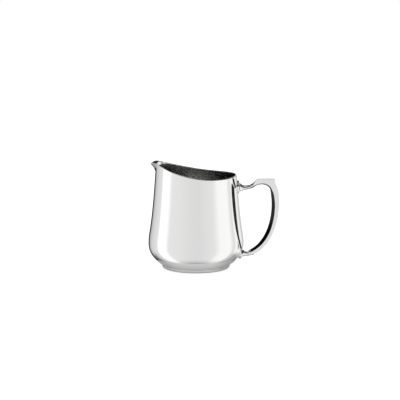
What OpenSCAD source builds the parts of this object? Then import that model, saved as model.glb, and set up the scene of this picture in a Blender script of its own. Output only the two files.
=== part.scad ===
// Silver cream jug: a spun body with a pulled lip, a foot ring and a cast handle on two pinned pegs.
// The origin is on the body's axis, at the height of the table. The lip points to -X, the handle to +X.

/* [Body] */
// Radius of the belly at its fullest
belly_r = 39.7; // [38:0.1:48]
// Height of the fullest point of the belly
belly_z = 20.4; // [17:0.1:25]
// Radius of the edge where the belly turns in to the base
base_r = 28.4; // [24:0.1:31]
// Radius of the body at the level of the lip
mouth_r = 33.2; // [28:0.1:40]
// Thickness of the sheet silver
wall = 1.2; // [0.8:0.1:1.6]

/* [Rim and lip] */
// Height of the rim at its lowest point
rim_z = 77.3; // [64:0.1:95]
// Distance of the rim's lowest point from the axis, towards the handle
rim_low_x = 19.6; // [12:0.1:26]
// Radius of the rim's long sweep, seen from the side
rim_sweep_r = 128; // [110:1:180]
// How far the lip stands out from the body
lip_reach = 4.3; // [2:0.1:7]
// How far the lip's underside reaches down the body
lip_drop = 6.8; // [4:0.1:10]
// Half of the angle that the lip takes up around the body
lip_half_angle = 27; // [20:1:35]
// How far the tip of the lip dips below the rim's highest point
lip_dip = 1.7; // [0.5:0.1:3]
// Radius of the rounded nose of the lip
lip_nose_r = 1.6; // [1.3:0.1:2.5]

/* [Foot ring] */
// Height of the foot ring
foot_h = 2.9; // [2:0.1:6]
// Outer radius of the foot ring where it stands on the table
foot_r = 26.4; // [22:0.1:28]
// Width of the foot ring's standing face
foot_w = 2.0; // [1.2:0.1:3]

/* [Handle] */
// Depth of the upper peg's axis below the rim's lowest point
upper_drop = 10; // [8.5:0.1:14]
// Height of the lower peg's axis above the base of the body
lower_rise = 8.3; // [7:0.1:10]
// How far the handle's outside stands out from the body, at the upper peg
handle_out = 34.2; // [31:0.1:42]
// Length of the arm between the body and the thumb rest's inner corner
arm_len = 14.9; // [13:0.1:17]
// Length of the flat thumb rest
thumb_len = 15.6; // [14:0.1:17]
// Height of the flat thumb rest above the upper peg's axis
thumb_rise = 7; // [5.5:0.1:9]
// Half of the handle's width at the thumb rest
thumb_half_w = 4.3; // [3.4:0.1:5.4]
// Half of the handle's width at the middle of the grip
grip_half_w = 3.9; // [3:0.1:5]
// Half of the handle's width at the neck of the arm
neck_half_w = 2.3; // [2:0.1:3]
// Half of the handle's width at its lower end
tail_half_w = 2.3; // [2:0.1:3]
// Half of the handle's height where it meets the upper collar
root_half_h = 3.8; // [3:0.1:4.4]

/* [Handle joints] */
// Radius of the upper collar
upper_collar_r = 5.6; // [4.6:0.1:6.8]
// Thickness of the upper collar where it meets the handle
upper_collar_t = 1.6; // [1.2:0.1:2.4]
// Radius of the lower collar
lower_collar_r = 4.1; // [3.4:0.1:5]
// How far the lower collar stands off the belly
lower_collar_t = 2.2; // [1.6:0.1:2.8]
// Radius of the lower ferrule at the handle
ferrule_r = 1.9; // [1.75:0.05:2.1]
// Distance from the belly to the end of the lower ferrule, where the handle starts
ferrule_len = 6.4; // [5.6:0.1:8]
// Radius of the two pegs that carry the handle
stud_r = 1.2; // [0.9:0.02:1.44]
// How far the upper peg reaches into the handle
upper_stud_reach = 7; // [6.6:0.1:8]
// How far the lower peg reaches into the handle
lower_stud_reach = 4.2; // [3:0.1:5]
// Distance of the upper cross pin from the collar
upper_pin_reach = 6; // [4:0.1:6.2]
// Distance of the lower cross pin from the ferrule
lower_pin_reach = 1.9; // [1.2:0.1:2.4]
// Radius of the two cross pins
pin_r = 0.45; // [0.3:0.05:0.6]
// Gap all round each peg, filled by solder on a real jug
stud_gap = 0.05; // [0.02:0.01:0.15]
// Gap all round each cross pin
pin_gap = 0.02; // [0.01:0.01:0.05]

/* [Hidden] */
$fn = 96;
silver = [0.86, 0.87, 0.88];
pale_silver = [0.92, 0.92, 0.91];
steel_grey = [0.62, 0.63, 0.65];
belly_steps = 10;
side_steps = 14;
// The side profile runs on past the rim, which is then cut from it
stock_z = rim_z + 16;
crest_z = rim_z + 11.5;
crest_x = -mouth_r - 0.3;
lip_tip_x = -mouth_r - 0.4 - lip_reach;
// Room past the end of each peg
end_gap = 0.5;

// Point, and direction of travel, at t along a cubic curve with control points p
function curve(p, t) =
    pow(1 - t, 3) * p[0] + 3 * pow(1 - t, 2) * t * p[1] + 3 * (1 - t) * t * t * p[2] + pow(t, 3) * p[3];
function heading(p, t) =
    pow(1 - t, 2) * (p[1] - p[0]) + 2 * (1 - t) * t * (p[2] - p[1]) + t * t * (p[3] - p[2]);
function left_of(v) = [-v[1], v[0]] / norm(v);

belly_curve = [
    [base_r, foot_h], [base_r + 0.3, foot_h + 0.9], [belly_r, foot_h + 5.6], [belly_r, belly_z]
];
side_curve = [
    [belly_r, belly_z], [belly_r, belly_z + 12], [mouth_r + 3.6, belly_z + 8], [mouth_r - 0.3, stock_z]
];

// Profile points of the body, d inside its outer face
function profile(d) = concat(
    [for (i = [0 : belly_steps - 1]) let (t = i / belly_steps)
        curve(belly_curve, t) + d * left_of(heading(belly_curve, t))],
    [for (i = [0 : side_steps]) let (t = i / side_steps)
        curve(side_curve, t) + d * left_of(heading(side_curve, t))]
);
outer_profile = profile(0);
// Radius of the body's outer face at height z
function radius_at(z) = lookup(z, [for (p = outer_profile) [p[1], p[0]]]);

// Places of the handle's joints and corners
upper_z = rim_z - upper_drop;
lower_z = foot_h + lower_rise;
grip_mid_z = (upper_z + lower_z) / 2;
root_x = radius_at(upper_z);
upper_seat_x = root_x + upper_collar_t;
thumb_x0 = root_x + arm_len;
thumb_x1 = thumb_x0 + thumb_len;
thumb_z = upper_z + thumb_rise;
out_x = root_x + handle_out;
belly_seat_x = radius_at(lower_z);
tail_x = belly_seat_x + ferrule_len;
// The lower collar's axis stands square to the belly
belly_slope = (radius_at(lower_z + 1) - radius_at(lower_z - 1)) / 2;
lower_collar_tilt = atan(belly_slope);
upper_pin_x = upper_seat_x + upper_pin_reach;
lower_pin_x = tail_x + lower_pin_reach;

module solid_of_profile(d, floor_z) {
    points = [for (p = profile(d)) if (p[1] > floor_z) p];
    rotate_extrude()
        polygon(concat([[0, floor_z], [lookup(floor_z, [for (p = profile(d)) [p[1], p[0]]]), floor_z]],
            points, [[0, points[len(points) - 1][1]]]));
}

// Plan of the lip, d inside its outer face: a round nose with straight sides that run back into the body
module lip_plan(d) {
    nose_x = lip_tip_x + lip_nose_r;
    root = [-mouth_r * cos(lip_half_angle), mouth_r * sin(lip_half_angle)];
    run = root - [nose_x, 0];
    side_angle = atan2(run[1], run[0]) + asin(lip_nose_r / norm(run));
    side = [cos(side_angle), sin(side_angle)];
    nose = lip_nose_r - d;
    touch = [nose_x, 0] + nose * left_of(side);
    reach = norm(run) + 3;
    translate([nose_x, 0]) circle(nose, $fn = 48);
    polygon([
        touch, touch + reach * side, [touch[0] + reach * side[0], -touch[1] - reach * side[1]],
        [touch[0], -touch[1]]
    ]);
}

// The lip leans out as it rises, so lower down it sinks into the body
module lip_wedge(d) {
    lean = (lip_reach - 0.1) / (lip_drop - lip_dip);
    height = lip_drop + 4;
    multmatrix([
        [1, 0, -lean, lean * (crest_z - lip_dip)],
        [0, 1, 0, 0],
        [0, 0, 1, 0],
        [0, 0, 0, 1]
    ])
        translate([0, 0, crest_z - lip_drop - 2]) linear_extrude(height) lip_plan(d);
}

// Everything above the rim: one long sweep, then a short dip towards the tip of the lip
module above_rim() {
    translate([rim_low_x, 0, rim_z + rim_sweep_r])
        rotate([90, 0, 0]) cylinder(r = rim_sweep_r, h = 3 * belly_r, center = true, $fn = 360);
    rotate([90, 0, 0])
        linear_extrude(3 * belly_r, center = true)
            polygon([
                [crest_x, crest_z], [crest_x, stock_z + 9], [-2 * mouth_r, stock_z + 9],
                [-2 * mouth_r, crest_z - lip_dip * (2 * mouth_r + crest_x) / lip_reach]
            ]);
}

module body() {
    color(silver) difference() {
        union() {
            solid_of_profile(0, foot_h);
            lip_wedge(0);
        }
        solid_of_profile(wall, foot_h + wall);
        lip_wedge(wall);
        above_rim();
    }
}

module foot_ring() {
    swell = [[foot_r, 0], [foot_r + 1.5, 0.5], [base_r, foot_h * 0.5], [base_r, foot_h]];
    color(silver) rotate_extrude()
        polygon(concat(
            [[foot_r - foot_w, 0]], [for (i = [0 : 6]) curve(swell, i / 6)], [[foot_r - foot_w, foot_h]]
        ));
}

// The handle's side view: an outer and an inner line, each in the same four stretches.
// The stretches are the arm, the thumb rest, the outer corner and the grip.
handle_outer = [
    [[upper_seat_x, upper_z + root_half_h], [root_x + 4.9, upper_z - 0.7],
        [thumb_x0 - 3, upper_z + 1.8], [thumb_x0, thumb_z]],
    [[thumb_x0, thumb_z], [thumb_x0 + 5, thumb_z], [thumb_x1 - 5, thumb_z], [thumb_x1, thumb_z]],
    [[thumb_x1, thumb_z], [thumb_x1, thumb_z - 4.5],
        [out_x - 1.6, upper_z + 0.4], [out_x - 0.9, upper_z - 2.4]],
    [[out_x - 0.9, upper_z - 2.4], [out_x + 2.4, grip_mid_z + 5.2], [out_x - 4.7, lower_z + 3.7],
        [tail_x, lower_z - 1.7]]
];
handle_inner = [
    [[upper_seat_x, upper_z - root_half_h], [root_x + 4.3, upper_z - 1.7],
        [thumb_x0 - 5.1, upper_z - 2.5], [thumb_x0 - 0.4, upper_z + 0.7]],
    [[thumb_x0 - 0.4, upper_z + 0.7], [thumb_x0 + 2.8, upper_z + 2.8],
        [out_x - 10.5, upper_z + 3], [out_x - 7.7, upper_z - 1.6]],
    [[out_x - 7.7, upper_z - 1.6], [out_x - 7.4, upper_z - 3.2],
        [out_x - 7.2, upper_z - 4.8], [out_x - 7, upper_z - 6.5]],
    [[out_x - 7, upper_z - 6.5], [out_x - 4.4, grip_mid_z + 3.2], [out_x - 10.6, lower_z + 9.3],
        [tail_x, lower_z + 3.1]]
];
arm_steps = 12;
rest_steps = 8;
corner_steps = 4;
grip_steps = 22;

// Half width of the arm: a trumpet end, a neck, then the spread to the thumb rest
function arm_half_w(t) =
    neck_half_w + (root_half_h - neck_half_w) * pow(1 - t, 6)
    + (thumb_half_w - neck_half_w) * pow(t, 2) * (3 - 2 * t);
// Half width of the grip: from the thumb rest to the middle, then down to the tail
function grip_w(t) = t < 0.5
    ? thumb_half_w + (grip_half_w - thumb_half_w) * 2 * t
    : grip_half_w + (tail_half_w - grip_half_w) * pow(2 * t - 1, 1.5);

// One section across the handle, from outer point o to inner point i, w half wide
round_share = [[0, 0.38], [0.14, 0.78], [0.5, 1], [0.86, 0.78], [1, 0.38]];
flat_share = [[0, 0.88], [0.06, 1], [0.52, 1], [0.92, 0.5], [1, 0.36]];
function section(o, i, w, flat) = let (
    share = [for (k = [0 : 4]) round_share[k] * (1 - flat) + flat_share[k] * flat],
    there = [for (s = share) [o[0] + (i[0] - o[0]) * s[0], -w * s[1], o[1] + (i[1] - o[1]) * s[0]]],
    back = [for (k = [4 : -1 : 0]) [there[k][0], -there[k][1], there[k][2]]]
) concat(there, back);

function stretch(n, steps, w_of, flat_of) =
    [for (k = [0 : steps - 1]) let (t = k / steps)
        section(curve(handle_outer[n], t), curve(handle_inner[n], t), w_of(t), flat_of(t))];

handle_sections = concat(
    stretch(0, arm_steps, function (t) arm_half_w(t), function (t) min(1, t * 1.4)),
    stretch(1, rest_steps, function (t) thumb_half_w, function (t) 1),
    stretch(2, corner_steps, function (t) thumb_half_w, function (t) 1),
    stretch(3, grip_steps, function (t) grip_w(t), function (t) min(1, (1 - t) * 5)),
    [section(curve(handle_outer[3], 1), curve(handle_inner[3], 1), tail_half_w, 0)]
);

module swept(sections) {
    n = len(sections[0]);
    last = len(sections) - 1;
    sides = [for (r = [0 : last - 1]) for (k = [0 : n - 1]) let (k2 = (k + 1) % n)
        each [[r * n + k, r * n + k2, (r + 1) * n + k2], [r * n + k, (r + 1) * n + k2, (r + 1) * n + k]]];
    ends = [[for (k = [n - 1 : -1 : 0]) k], [for (k = [0 : n - 1]) last * n + k]];
    polyhedron([for (s = sections) each s], concat(sides, ends));
}

// A cylinder along X from x0 to x1, on the line at height z
module rod_x(x0, x1, z, r) {
    translate([x0, 0, z]) rotate([0, 90, 0]) cylinder(r = r, h = x1 - x0);
}
module rod_y(x, z, r, half) {
    translate([x, 0, z]) rotate([90, 0, 0]) cylinder(r = r, h = 2 * half, center = true);
}

module handle() {
    color(pale_silver) difference() {
        swept(handle_sections);
        rod_x(upper_seat_x - 1, upper_seat_x + upper_stud_reach + end_gap, upper_z, stud_r + stud_gap);
        rod_x(tail_x - 1, tail_x + lower_stud_reach + end_gap, lower_z, stud_r + stud_gap);
        rod_y(upper_pin_x, upper_z, pin_r + pin_gap, thumb_half_w);
        rod_y(lower_pin_x, lower_z, pin_r + pin_gap, thumb_half_w);
    }
}

module upper_collar() {
    dome = [
        [0, 0], [upper_collar_r - 1.6, 0], [upper_collar_r - 0.2, -0.4], [upper_collar_r, -upper_collar_t]
    ];
    color(silver) difference() {
        translate([upper_seat_x, 0, upper_z]) rotate([0, 90, 0]) rotate_extrude()
            polygon(concat([for (i = [0 : 8]) curve(dome, i / 8)], [[upper_collar_r, -4], [0, -4]]));
        solid_of_profile(0, foot_h);
        rod_x(upper_seat_x - 5, upper_seat_x + 1, upper_z, stud_r + stud_gap);
    }
}

module upper_stud() {
    color(steel_grey) difference() {
        rod_x(root_x - 2, upper_seat_x + upper_stud_reach, upper_z, stud_r);
        solid_of_profile(0, foot_h);
        rod_y(upper_pin_x, upper_z, pin_r + pin_gap, thumb_half_w);
    }
}

module upper_pin() {
    // Its ends are filed flush with the arm's sides
    color(steel_grey) rod_y(upper_pin_x, upper_z, pin_r, arm_half_w(upper_pin_reach / (thumb_x0 - upper_seat_x)));
}

module lower_collar() {
    edge = [[0, 0], [lower_collar_r - 0.8, 0], [lower_collar_r, -0.3], [lower_collar_r, -1.2]];
    color(silver) difference() {
        translate([belly_seat_x, 0, lower_z]) rotate([0, 90 + lower_collar_tilt, 0])
            translate([0, 0, lower_collar_t]) rotate_extrude()
                polygon(concat([for (i = [0 : 6]) curve(edge, i / 6)], [[lower_collar_r, -5], [0, -5]]));
        solid_of_profile(0, foot_h);
        rod_x(belly_seat_x - 4, belly_seat_x + 5, lower_z, stud_r + stud_gap);
    }
}

module lower_ferrule() {
    color(silver) difference() {
        translate([belly_seat_x, 0, lower_z]) rotate([0, 90, 0])
            cylinder(r1 = ferrule_r + 0.5, r2 = ferrule_r, h = ferrule_len);
        // The tilted face of the lower collar
        translate([belly_seat_x, 0, lower_z]) rotate([0, 90 + lower_collar_tilt, 0])
            translate([0, 0, lower_collar_t - 12]) cylinder(r = 12, h = 12);
        rod_x(belly_seat_x - 1, tail_x + 1, lower_z, stud_r + stud_gap);
    }
}

module lower_stud() {
    color(steel_grey) difference() {
        rod_x(belly_seat_x - 3, tail_x + lower_stud_reach, lower_z, stud_r);
        solid_of_profile(0, foot_h);
        rod_y(lower_pin_x, lower_z, pin_r + pin_gap, thumb_half_w);
    }
}

module lower_pin() {
    color(steel_grey) rod_y(lower_pin_x, lower_z, pin_r, tail_half_w);
}

body();
foot_ring();
handle();
upper_collar();
upper_stud();
upper_pin();
lower_collar();
lower_ferrule();
lower_stud();
lower_pin();
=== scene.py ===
"""Silver cream jug: the finished look, built around the packed frame.

Every length is in metres, in the frame of the packed model: +Z is up, +X points to the
handle and -X to the pouring lip.
"""

import bisect
import math

import bpy
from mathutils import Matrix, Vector


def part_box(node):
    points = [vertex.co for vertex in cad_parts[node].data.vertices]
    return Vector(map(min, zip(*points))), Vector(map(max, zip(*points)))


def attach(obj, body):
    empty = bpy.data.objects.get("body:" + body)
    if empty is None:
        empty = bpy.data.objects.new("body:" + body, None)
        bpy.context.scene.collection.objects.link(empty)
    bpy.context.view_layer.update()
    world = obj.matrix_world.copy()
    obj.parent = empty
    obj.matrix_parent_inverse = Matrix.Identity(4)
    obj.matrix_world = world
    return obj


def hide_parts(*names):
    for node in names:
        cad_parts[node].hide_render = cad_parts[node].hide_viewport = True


bl_info = {
    "name": "Silver cream jug",
    "version": (1, 0, 0),
    "blender": (4, 5, 0),
    "location": "3D View > Sidebar > Cream Jug",
    "description": "Builds a polished cream jug with a pulled lip and a pinned loop handle",
    "category": "Add Mesh",
}

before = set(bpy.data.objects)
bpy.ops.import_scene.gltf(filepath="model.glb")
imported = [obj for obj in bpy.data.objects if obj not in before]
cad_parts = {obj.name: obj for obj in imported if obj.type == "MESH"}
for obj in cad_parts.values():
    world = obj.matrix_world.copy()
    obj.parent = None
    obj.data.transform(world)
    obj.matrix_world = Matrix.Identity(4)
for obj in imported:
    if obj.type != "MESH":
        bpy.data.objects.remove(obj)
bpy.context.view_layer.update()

ROOT_BODY = "root"
MM = 0.001

BODY_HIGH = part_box("body")[1]
FOOT_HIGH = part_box("foot_ring")[1]
HANDLE_LOW, HANDLE_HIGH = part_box("handle")
BARREL_LOW, BARREL_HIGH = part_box("lower_ferrule")


def middle_of(node):
    """Centre of a packed node's box."""
    low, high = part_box(node)
    return (low + high) / 2


# ---------------------------------------------------------------- sizes and colours


def number(name, description, default, **kind):
    """A property for a number."""
    return bpy.props.FloatProperty(name=name, description=description, default=default, **kind)


def length(name, description, metres):
    """A property for a length."""
    return number(name, description, metres, min=0.0, precision=5, unit="LENGTH")


def angle(name, description, degrees):
    """A property for an angle, given here in degrees."""
    return number(name, description, math.radians(degrees), subtype="ANGLE")


def share(name, description, part):
    """A property for a number from 0 to 1."""
    return number(name, description, part, min=0.0, max=1.0, subtype="FACTOR")


def colour(name, description, tone):
    """A property for a linear colour."""
    return bpy.props.FloatVectorProperty(
        name=name, description=description, default=tone, size=3, min=0.0, max=1.0, subtype="COLOR"
    )


class CreamJugShellSizes(bpy.types.PropertyGroup):
    """Sizes of the raised shell and its foot ring."""

    belly_radius: length("Belly radius", "Widest outer radius of the shell", BODY_HIGH.y)
    belly_height: length("Belly height", "Height of the widest place", 20.4 * MM)
    base_radius: length("Base radius", "Outer radius where the shell meets the foot", FOOT_HIGH.x)
    base_height: length("Base height", "Height of the shell's underside", FOOT_HIGH.z)
    mouth_radius: length("Mouth radius", "Outer radius just below the crest", 33.2 * MM)
    wall: length("Wall", "Thickness of the sheet", 1.2 * MM)
    base_dish: length("Base dish", "How far the middle of the base is pressed up", 0.5 * MM)
    edge_round: length("Edge rounding", "Height over which the rim's edge is rounded", 0.5 * MM)
    foot_radius: length("Foot radius", "Outer radius of the standing face", 26.4 * MM)
    foot_width: length("Foot width", "Width of the standing face", 2.0 * MM)
    foot_edge: length("Foot edge", "Rounding of the foot ring's edges", 0.28 * MM)


class CreamJugRimSizes(bpy.types.PropertyGroup):
    """Sizes of the swept rim and the pulled pouring lip."""

    low_height: length("Low height", "Height of the rim at its lowest place", 77.3 * MM)
    low_place: length("Low place", "Distance of that place from the axis, to the handle", 19.6 * MM)
    sweep_radius: length("Sweep radius", "Radius of the rim's long sweep", 128.0 * MM)
    crest_height: length("Crest height", "Height of the rim above the lip", BODY_HIGH.z)
    lip_reach: length("Lip reach", "How far the lip stands out of the mouth", 4.3 * MM)
    lip_drop: length("Lip drop", "Height over which the lip runs into the wall", 6.8 * MM)
    lip_dip: length("Lip dip", "How far the lip's tip lies below the crest", 1.7 * MM)
    lip_half_angle: angle("Lip half angle", "Half the angle that the lip takes of the rim", 27.0)
    nose_radius: length("Nose radius", "Outer radius of the lip's tip, from above", 1.6 * MM)
    lip_blend: length("Lip blend", "Softness of the line between lip and wall", 2.0 * MM)


class CreamJugHandleSizes(bpy.types.PropertyGroup):
    """Sizes of the cast loop handle."""

    seat_place: length("Seat", "Where the upper end meets its collar", HANDLE_LOW.x)
    upper_height: length("Upper joint", "Height of the upper peg", middle_of("upper_stud").z)
    lower_height: length("Lower joint", "Height of the lower peg", middle_of("lower_stud").z)
    thumb_height: length("Thumb rest height", "Height of the flat thumb rest", HANDLE_HIGH.z)
    outer_place: length("Outer side", "Distance of the outer side from the axis", 68.88 * MM)
    tail_place: length("Tail", "Where the lower end meets its barrel", BARREL_HIGH.x)
    arm_length: length("Arm length", "From the body to the thumb rest", 14.9 * MM)
    thumb_length: length("Thumb rest length", "Length of the flat top", 15.6 * MM)
    thumb_half_width: length("Thumb rest half width", "Half its width", HANDLE_HIGH.y)
    grip_half_width: length("Grip half width", "Half the width of the long limb", 3.9 * MM)
    neck_half_width: length("Neck half width", "Half the width of the thin arm", 2.3 * MM)
    tail_half_width: length("Tail half width", "Half the width at the lower end", 2.3 * MM)
    bevel_angle: angle("Bevel angle", "Slope of the bevelled inner side, from the flat side", 53.7)
    end_chamfer: length("End chamfer", "Chamfer round the lower end", 0.35 * MM)
    root_half_height: length("Root half height", "Half the height of the upper end", 3.8 * MM)


class CreamJugJointSizes(bpy.types.PropertyGroup):
    """Sizes of the collars, the barrel and the pegs."""

    upper_collar_radius: length("Upper collar radius", "Radius of the domed bead", 5.6 * MM)
    upper_collar_height: length("Upper collar height", "Height of its dome", 1.6 * MM)
    lower_collar_radius: length("Lower collar radius", "Radius of the tilted flange", 4.1 * MM)
    lower_collar_height: length("Lower collar height", "How far it stands off the belly", 2.2 * MM)
    barrel_radius: length("Barrel radius", "Radius of the barrel at the handle", 1.9 * MM)
    barrel_flare: length("Barrel flare", "How much wider it is at the flange", 0.5 * MM)
    stud_radius: length("Peg radius", "Radius of both pegs", 1.2 * MM)
    stud_gap: length("Peg gap", "Clearance round a peg", 0.05 * MM)
    upper_stud_reach: length("Upper peg reach", "How far the upper peg goes in", 7.0 * MM)
    lower_stud_reach: length("Lower peg reach", "How far the lower peg goes in", 4.2 * MM)
    pin_dome: length("Pin dome", "How far a pin's rounded end stands out", 0.16 * MM)
    steps_around: bpy.props.IntProperty(
        name="Steps around",
        description="How many flat steps a small turned piece has round its axis",
        default=72,
        min=12,
        max=256,
    )


class CreamJugFinish(bpy.types.PropertyGroup):
    """Colours and gloss of the metals."""

    silver: colour("Silver", "Colour of the polished plate", (0.93, 0.93, 0.925))
    inside: colour("Inside", "Colour of the plate inside the bowl", (0.92, 0.92, 0.91))
    casting: colour("Casting", "Colour of the polished casting", (0.96, 0.96, 0.955))
    # Inner side: the near-black colour of the handle's bevels is a painted dark reflection, not a
    # darkened metal
    inner_side: colour("Inner side", "Colour of the handle's darkened inner side", (0.028, 0.028, 0.027))
    pegs: colour("Pegs", "Colour of the pegs and pins", (0.78, 0.78, 0.77))
    tarnish: colour("Tarnish", "Colour of the thin tarnish in the corners", (0.12, 0.11, 0.1))
    polish: share("Polish", "Roughness of the polished plate", 0.05)
    inside_polish: share("Inside polish", "Roughness inside the bowl", 0.17)
    casting_polish: share("Casting polish", "Roughness of the casting", 0.06)
    inner_side_polish: share("Inner side polish", "Roughness of the handle's inner side", 0.22)
    peg_polish: share("Peg polish", "Roughness of the pegs and pins", 0.16)


class CreamJugStudio(bpy.types.PropertyGroup):
    """Floor, light tent and camera."""

    floor_tone: share("Floor tone", "How light the floor is", 0.5)
    floor_glow: number("Floor glow", "Light that the floor gives off itself", 0.72, min=0.0)
    world_glow: number("Surrounding light", "Even light from all sides", 1.0, min=0.0)
    tent_radius: length("Tent radius", "Radius of the light tent", 0.8)
    camera_distance: length("Camera distance", "From the camera to its target", 1.1786)
    camera_rise: angle("Camera angle", "Angle of the camera above the floor", 9.63)
    target_height: length("Target height", "Height of the point looked at", 41.5 * MM)
    focal_length: number("Focal length", "Focal length of the lens, in millimetres", 127.8, min=1.0)


# ---------------------------------------------------------------- curves and meshes

# The most of an edge that a corner's rounding may take, and that the point past it which holds
# the flat may take, and how far that point is from the corner, in roundings
ROUNDING_SHARE = 0.42
HOLD_SHARE = 0.47
HOLD_REACH = 1.5
# Faces that meet at more than this angle meet in a sharp edge
CREASE = math.radians(50)


def limited(value):
    """A number kept from 0 to 1."""
    return min(max(value, 0.0), 1.0)


def cubic(points, part):
    """Point of a cubic curve with four control points."""
    rest = 1 - part
    weights = (rest**3, 3 * rest * rest * part, 3 * rest * part * part, part**3)
    return Vector([sum(w * p[k] for w, p in zip(weights, points)) for k in range(len(points[0]))])


def cubic_heading(points, part):
    """Direction of a cubic curve, of length 1."""
    rest = 1 - part
    weights = (rest * rest, 2 * rest * part, part * part)
    steps = [Vector(b) - Vector(a) for a, b in zip(points, points[1:])]
    heading = weights[0] * steps[0] + weights[1] * steps[1] + weights[2] * steps[2]
    return heading.normalized()


def sampled(points, steps):
    """Points at even steps along a cubic curve."""
    return [tuple(cubic(points, n / steps)) for n in range(steps + 1)]


def soft_max(first, second, softness):
    """The larger of two numbers, with the change from one to the other rounded."""
    near = max(softness - abs(first - second), 0.0) / softness
    return max(first, second) + near * near * softness / 4


def mix(first, second, part):
    """A number part of the way from the first to the second."""
    return first + (second - first) * part


def rounded(corners, cuts, steps, closed):
    """A path with its corners rounded, each from its cut back to its cut forward.

    corners are vectors, and cuts has one length for each of them. A point beside each
    rounding holds the flat next to it flat.
    """
    count = len(corners)
    path = []
    for k, corner in enumerate(corners):
        if not closed and k in (0, count - 1):
            path.append(corner.copy())
            continue
        sides = []
        for neighbour in (corners[k - 1], corners[(k + 1) % count]):
            edge = neighbour - corner
            cut = min(cuts[k], edge.length * ROUNDING_SHARE)
            hold = min(cut * HOLD_REACH, edge.length * HOLD_SHARE)
            sides.append((corner + edge.normalized() * cut, corner + edge.normalized() * hold))
        (start, hold_before), (end, hold_after) = sides
        path.append(hold_before)
        for n in range(steps + 1):
            part = n / steps
            path.append((1 - part) ** 2 * start + 2 * part * (1 - part) * corner + part**2 * end)
        path.append(hold_after)
    return path


def enclosed_volume(mesh):
    """Volume inside a closed mesh, which is negative if its faces point inwards."""
    mesh.calc_loop_triangles()
    total = 0.0
    for triangle in mesh.loop_triangles:
        a, b, c = (mesh.vertices[k].co for k in triangle.vertices)
        total += a.dot(b.cross(c))
    return total / 6


def add_piece(mesh, node):
    """Puts a mesh, which has its piece's name, in the scene in the place of a packed node.

    Its faces point outwards and are smooth, with creases only where the shape has them.
    """
    if enclosed_volume(mesh) < 0:
        mesh.flip_normals()
    mesh.shade_smooth()
    mesh.set_sharp_from_angle(angle=CREASE)
    mesh.update()
    piece = bpy.data.objects.new(mesh.name, mesh)
    bpy.context.scene.collection.objects.link(piece)
    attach(piece, ROOT_BODY)
    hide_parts(node)


def ring_faces(ring_count, ring_size):
    """Faces between rings of points that are stored one after another."""
    faces = []
    for ring in range(ring_count - 1):
        low = ring * ring_size
        high = low + ring_size
        for k in range(ring_size):
            after = (k + 1) % ring_size
            faces.append((low + k, low + after, high + after, high + k))
    return faces


def skin_rings(name, rings, first_pole, last_pole):
    """A closed mesh over a row of rings, with a point at each end."""
    size = len(rings[0])
    points = [point for ring in rings for point in ring]
    faces = ring_faces(len(rings), size)
    start = len(points)
    end = start + 1
    points += [first_pole, last_pole]
    last = (len(rings) - 1) * size
    for k in range(size):
        after = (k + 1) % size
        faces.append((after, k, start))
        faces.append((last + k, last + after, end))
    mesh = bpy.data.meshes.new(name)
    mesh.from_pydata(points, [], faces)
    mesh.update()
    return mesh


# ---------------------------------------------------------------- metals

# For each metal, its colour and roughness among the finish settings, how much tarnish it has,
# and the scale along X, Y and Z and the depth of its polishing lines
METALS = {
    "polished_plate": ("silver", "polish", 0.75, (60, 60, 2600), 0.5),
    "inside_plate": ("inside", "inside_polish", 0.5, (60, 60, 2200), 0.8),
    "polished_casting": ("casting", "casting_polish", 0.75, (300, 2400, 300), 0.6),
    # the handle's bevels: the same casting with a near-black painted reflection, and no tarnish
    "painted_reflection_casting": ("inner_side", "inner_side_polish", 0.0, (300, 2400, 300), 0.6),
    "peg_wire": ("pegs", "peg_polish", 0.8, (900, 900, 900), 0.6),
}
# Scale and detail of the noise in polishing lines and in handling marks
LINES = (1.0, 3.0)
SMEARS = (85.0, 4.0)
# How far tarnish reaches out of a corner
CORNER_REACH = 1.2 * MM
LINE_STRENGTH = 0.06
LINE_HEIGHT = 0.02 * MM


def add_sockets(tree, direction, sockets):
    """Adds inputs or outputs to a node group: each a name, a kind and maybe a default."""
    for name, kind, *default in sockets:
        socket = tree.interface.new_socket(name=name, in_out=direction, socket_type="NodeSocket" + kind)
        if default:
            socket.default_value = default[0]


def add_node(tree, kind, inputs=None, **options):
    """Adds a node, sets its options, and sets or links the inputs that are given."""
    node = tree.nodes.new(kind)
    for name, value in options.items():
        setattr(node, name, value)
    for socket, value in (inputs or {}).items():
        if isinstance(value, bpy.types.NodeSocket):
            tree.links.new(value, node.inputs[socket])
        else:
            node.inputs[socket].default_value = value
    return node


def maths(tree, operation, first, second=0.0):
    """Result of a maths node, each of its inputs a socket or a number."""
    return add_node(tree, "ShaderNodeMath", {0: first, 1: second}, operation=operation).outputs[0]


def noise(tree, place, scale, detail):
    """Noise at a place, as a number from 0 to 1."""
    inputs = {"Vector": place, "Scale": scale, "Detail": detail}
    return add_node(tree, "ShaderNodeTexNoise", inputs).outputs["Fac"]


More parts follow.
